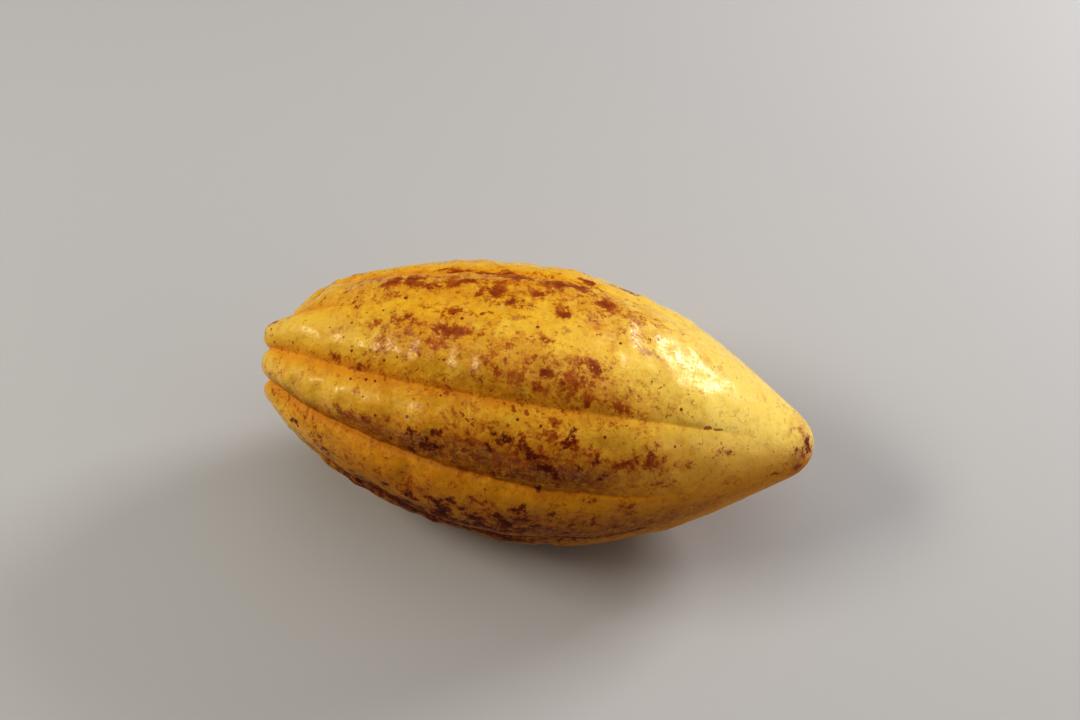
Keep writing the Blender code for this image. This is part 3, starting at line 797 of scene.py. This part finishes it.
def drawn_marks(place, marks):
    """The mask of all the marks together, each from one end to the other."""
    mask = 0.0
    for along, angle, along_end, angle_end, half_width in marks:
        ends = {"From": tuple(place_on_pod(along, angle)), "To": tuple(place_on_pod(along_end, angle_end))}
        mark = tree.group(drawn, {"Place": place, "Width": half_width, **ends})
        mask = tree.most(mask, mark.outputs[0])
    return mask


dot_mask = drawn_marks(place, [(along, angle, along, angle, width) for along, angle, width in DOTS])
skin_colour = tree.marked(skin_colour, dot_mask, 0.94, DOT_BROWN)
dash_mask = drawn_marks(tree.stirred(place, 1.3, 1.3), DASHES)
skin_colour = tree.marked(skin_colour, dash_mask, 0.8, DASH_RED)

# A broken brown line along the bottom of the furrows, and the dull rind in the hollow.
uneven_gap = tree.sum(from_furrow, tree.times(tree.noise(place, 2.5, 2.0, 0.5), 0.35))
line_area = tree.areas(place, (3.0, 9.0, 27.0), 8.0, 0.42, 0.58)
furrow_line = tree.times(tree.step(uneven_gap, 0.30, 0.12), line_area)
furrow_line = tree.times(furrow_line, tree.step(along_pod, 150.0, 120.0))
skin_colour = tree.marked(skin_colour, furrow_line, 0.5, RUSSET_RED)
skin_colour = tree.marked(skin_colour, into_hollow, 0.8, SCURF_TAN)

# The wax, the roughness of the marks, and the bumps, which are lower by the tip.
rough_marks = tree.most(tree.times(russet.outputs[0], 0.7), scab_and_shade.outputs[0])
rough_marks = tree.most(rough_marks, tree.times(scurf_mask, 0.8))
roughness = tree.sum(SKIN_ROUGHNESS, tree.times(rough_marks, MARKS_ROUGHER))
waxed = tree.times(tree.rest(tree.times(rough_marks, 0.9)), tree.step(furrow, 0.30, 0.04))
waxed = tree.times(waxed, tree.step(low_side, 0.95, 0.60))
unworn = tree.areas(place, (6.0, 6.0, 1.0), 0.9, 0.30, 0.62, 2.0, 0.6)
wax = tree.times(waxed, tree.sum(tree.times(unworn, WAX), tree.times(other_grit, WAX_GRIT)))
smoother = tree.sum(0.25, tree.times(tree.step(along_pod, 130.0, 60.0), 0.75))
height = tree.group(pebbles, {"Place": place, "Strength": smoother}).outputs[0]
height = tree.sum(height, tree.times(russet_cover, 0.05))
bump = tree.node("Bump", {"Height": height, "Distance": MM})
shader = tree.node(
    "BsdfPrincipled",
    {
        "Base Color": skin_colour,
        "Roughness": roughness,
        "Normal": bump.outputs[0],
        "Specular IOR Level": 0.27,
        "Coat Weight": wax,
        "Coat Roughness": WAX_ROUGHNESS,
    },
)
tree.node("OutputMaterial", {"Surface": shader.outputs[0]})
husk_mesh.materials.append(skin)

# The stub of the stalk. The real one is woody and was cut off short, so it shows
# a rim of grey-brown bark round a pale, fibrous face, down in the husk's hollow.
STUB_SUNK = 1.2  # how far it goes down into the husk
STUB_FLARE = 0.9  # how much wider it is there
STUB_ROUNDED = 0.5  # the edge of the cut
STUB_OVAL = 0.22  # how far it is out of round
BARK_RIB = 0.16
BARK_WIDTH = 0.6  # the band of bark round the cut face
SAWN_WAVE, SAWN_SLANT = 0.12, 0.05
CUT_MIDDLE_SUNK = 0.15
STUB_AROUND = 96
BARK_BROWN = (0.13, 0.070, 0.032, 1.0)
BARK_DARK = (0.045, 0.024, 0.012, 1.0)
CUT_PALE = (0.46, 0.31, 0.15, 1.0)
CUT_BROWN = (0.20, 0.105, 0.042, 1.0)
edge = []
for turned in np.radians(np.linspace(90.0, 0.0, 6)):
    edge_along = STUB_TOP + STUB_ROUNDED * (1.0 - math.sin(turned))
    edge.append((edge_along, STUB_RADIUS - STUB_ROUNDED * (1.0 - math.cos(turned))))
side = [(along, STUB_RADIUS) for along in np.linspace(STUB_TOP + 0.9, HOLLOW_DEPTH - 1.0, 8)]
foot = [(HOLLOW_DEPTH - 0.4, STUB_RADIUS + 0.25), (HOLLOW_DEPTH, STUB_RADIUS + STUB_FLARE)]
foot.append((HOLLOW_DEPTH + STUB_SUNK, STUB_RADIUS + STUB_FLARE))
face = [(STUB_TOP, radius) for radius in np.linspace(0.25, STUB_RADIUS - STUB_ROUNDED, 16)[:-1]]
stub_profile = face + edge + side + foot
stub_points = []
stub_places = []
for along, radius in stub_profile:
    for turn in np.linspace(0.0, 2.0 * math.pi, STUB_AROUND, endpoint=False):
        spot = Vector((along, -radius * math.sin(turn), radius * math.cos(turn)))
        on_side = min(max((radius - STUB_RADIUS + BARK_WIDTH) / BARK_WIDTH, 0.0), 1.0)
        rib_place = Vector((along * 0.25, math.sin(turn) * 4.0, math.cos(turn) * 4.0))
        ribs = BARK_RIB * noise.noise(rib_place)
        oval = STUB_OVAL * math.cos(2.0 * turn + 0.6)
        grown = 1.0 + (oval + ribs * on_side) / STUB_RADIUS
        sawn = (1.0 - on_side) * (SAWN_WAVE * noise.noise(spot * 1.3) + SAWN_SLANT * spot.y)
        stub_points.append((along + sawn, spot.y * grown, spot.z * grown))
        stub_places.append(tuple(spot))
centre_along = STUB_TOP + CUT_MIDDLE_SUNK
stub_points.append((centre_along, 0.0, 0.0))
stub_places.append((centre_along, 0.0, 0.0))
stub_points = np.array(stub_points) @ lean_rows.T - laid_at
stub_faces = []
for ring in range(len(stub_profile) - 1):
    for column in range(STUB_AROUND):
        beside = (column + 1) % STUB_AROUND
        low, high = ring * STUB_AROUND, (ring + 1) * STUB_AROUND
        stub_faces.append((low + column, low + beside, high + beside, high + column))
for column in range(STUB_AROUND):
    stub_faces.append(((column + 1) % STUB_AROUND, column, len(stub_points) - 1))
stub_foot = (len(stub_profile) - 1) * STUB_AROUND
stub_faces.append(tuple(stub_foot + column for column in reversed(range(STUB_AROUND))))
stub_mesh = bpy.data.meshes.new("stalk_stub")
stub_mesh.from_pydata((stub_points * MM).tolist(), [], stub_faces)
stub_mesh.shade_smooth()
attribute = stub_mesh.attributes.new("place", "FLOAT_VECTOR", "POINT")
attribute.data.foreach_set("vector", np.array(stub_places, np.float32).ravel())
stub = bpy.data.objects.new("stalk_stub", stub_mesh)
bpy.context.scene.collection.objects.link(stub)
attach(stub, "root")

wood = bpy.data.materials.new("stalk_wood_coat")
wood.use_nodes = True
wood.node_tree.nodes.clear()
tree = Tree(wood.node_tree)
place = tree.attribute("place", "Vector")
split_place = tree.node("SeparateXYZ", {0: place})
flat_place = tree.node("CombineXYZ", {1: split_place.outputs[1], 2: split_place.outputs[2]}).outputs[0]
from_middle = tree.node("VectorMath", {0: flat_place}, operation="LENGTH").outputs[1]
cut_face = tree.step(split_place.outputs[0], STUB_TOP + 0.3, STUB_TOP + CUT_MIDDLE_SUNK)
cut_face = tree.times(cut_face, tree.step(from_middle, STUB_RADIUS - 0.35, STUB_RADIUS - BARK_WIDTH))
vessels = tree.group(dots, {"Place": flat_place, "Spacing": 0.42, "Size": 0.11, "Share": 0.75})
ring_place = tree.sum(tree.times(from_middle, 5.0), tree.times(tree.noise(flat_place, 2.5, 2.0, 0.5), 6.0))
ring_wave = tree.node("Math", {0: ring_place}, operation="SINE").outputs[0]
cut_tone = tree.sum(tree.times(ring_wave, 0.05), tree.noise(flat_place, 0.9, 4.0, 0.6))
cut_colour = tree.colour(tree.step(cut_tone, 0.35, 0.72), CUT_BROWN, CUT_PALE)
pith = tree.step(from_middle, 1.0, 0.7)
cut_colour = tree.marked(cut_colour, pith, 0.7, CUT_BROWN)
cut_colour = tree.marked(cut_colour, vessels.outputs[0], 0.6, BARK_DARK)
bark_tone = tree.noise(tree.stretched(place, (2.4, 0.7, 0.7)), 1.0, 4.0, 0.65)
bark_colour = tree.colour(tree.step(bark_tone, 0.36, 0.66), BARK_DARK, BARK_BROWN)
bark_cracks = tree.group(cracks, {"Place": place, "Spacing": 1.4, "Width": 0.10, "Share": 0.7})
bark_colour = tree.marked(bark_colour, bark_cracks.outputs[0], 0.7, BARK_DARK)
wood_colour = tree.colour(cut_face, bark_colour, cut_colour)
fibres = tree.noise(tree.stretched(place, (2.0, 0.5, 0.5)), 1.0, 4.0, 0.6)
height = tree.sum(tree.times(fibres, 0.25), tree.times(vessels.outputs[0], -0.08))
bump = tree.node("Bump", {"Height": height, "Distance": MM})
shader = tree.node(
    "BsdfPrincipled", {"Base Color": wood_colour, "Roughness": 0.85, "Normal": bump.outputs[0]}
)
tree.node("OutputMaterial", {"Surface": shader.outputs[0]})
stub_mesh.materials.append(wood)

# The floor: plain, pale and matt.
FLOOR_PALE = (0.49, 0.51, 0.585, 1.0)
FLOOR_HALF = 2.0  # metres
floor_corners = [(x * FLOOR_HALF, y * FLOOR_HALF, 0.0) for x, y in ((-1, -1), (1, -1), (1, 1), (-1, 1))]
floor_mesh = bpy.data.meshes.new("floor")
floor_mesh.from_pydata(floor_corners, [], [(0, 1, 2, 3)])
floor = bpy.data.objects.new("floor", floor_mesh)
bpy.context.scene.collection.objects.link(floor)
floor_paint = bpy.data.materials.new("pale_floor")
floor_paint.use_nodes = True
floor_shader = floor_paint.node_tree.nodes["Principled BSDF"]
floor_shader.inputs["Base Color"].default_value = FLOOR_PALE
floor_shader.inputs["Roughness"].default_value = 0.7
floor_mesh.materials.append(floor_paint)

# The light: five warm soft boxes round the pod and a dim, even surround. The one
# behind on the right is the smallest and whitest, and makes the main highlight. The
# high one on the left makes the glints there. The others fill in the sides and the top.
POD_MIDDLE = Vector((0.0, 0.0, 0.045))
WARM_LIGHT = (1.0, 0.91, 0.72)
WHITER_LIGHT = (1.0, 0.95, 0.86)
SURROUND = (0.95, 0.97, 1.0, 1.0)
SURROUND_STRENGTH = 0.06


def soft_box(name, direction, distance, size, power, colour=WARM_LIGHT):
    """An area lamp that faces the pod; distance and size in metres, power in watts."""
    lamp_data = bpy.data.lights.new(name, "AREA")
    lamp_data.shape = "RECTANGLE"
    lamp_data.size, lamp_data.size_y = size
    lamp_data.energy = power
    lamp_data.color = colour
    lamp = bpy.data.objects.new(name, lamp_data)
    bpy.context.scene.collection.objects.link(lamp)
    lamp.location = POD_MIDDLE + Vector(direction).normalized() * distance
    lamp.rotation_euler = Vector(direction).to_track_quat("Z", "Y").to_euler()


soft_box("right", (0.64, 0.60, 0.47), 1.0, (0.32, 0.28), 4.7, WHITER_LIGHT)
soft_box("front right", (0.96, -0.08, 0.24), 1.3, (1.3, 0.7), 3.8)
soft_box("left", (-0.70, -0.15, 0.70), 1.0, (0.44, 0.24), 3.7)
soft_box("low left", (-0.98, 0.09, 0.17), 1.5, (2.0, 0.9), 3.5)
soft_box("top", (0.10, 0.10, 0.99), 1.6, (2.2, 1.6), 7.2)
world = bpy.data.worlds.new("surround")
world.use_nodes = True
world.node_tree.nodes["Background"].inputs["Color"].default_value = SURROUND
world.node_tree.nodes["Background"].inputs["Strength"].default_value = SURROUND_STRENGTH
bpy.context.scene.world = world
bpy.context.scene.view_settings.view_transform = "Standard"
bpy.context.scene.view_settings.look = "High Contrast"

# The camera, at the photograph's angle: from the pod's front, high up.
AZIMUTH = math.radians(9.8)
ELEVATION = math.radians(54.0)
DISTANCE = 0.439  # metres from the middle of the pod's box
LENS, SENSOR_WIDTH = 45.0, 36.0  # both in millimetres
PHOTO_WIDTH, PHOTO_HEIGHT = 1080, 720
POD_AT_PIXEL = (538.0, 402.5)  # where the middle of the pod's box falls
camera_data = bpy.data.cameras.new("camera")
camera_data.lens = LENS
camera_data.sensor_width = SENSOR_WIDTH
camera = bpy.data.objects.new("camera", camera_data)
bpy.context.scene.collection.objects.link(camera)
bpy.context.scene.camera = camera
backward = Vector(
    (
        math.sin(AZIMUTH) * math.cos(ELEVATION),
        -math.cos(AZIMUTH) * math.cos(ELEVATION),
        math.sin(ELEVATION),
    )
)
camera.rotation_euler = backward.to_track_quat("Z", "Y").to_euler()
focal = LENS / SENSOR_WIDTH * PHOTO_WIDTH
ray = Vector((POD_AT_PIXEL[0] - PHOTO_WIDTH / 2, PHOTO_HEIGHT / 2 - POD_AT_PIXEL[1], -focal))
ray.normalize()
pod_low, pod_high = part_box("cacao_pod")
camera.location = (pod_low + pod_high) / 2 - camera.rotation_euler.to_matrix() @ ray * DISTANCE
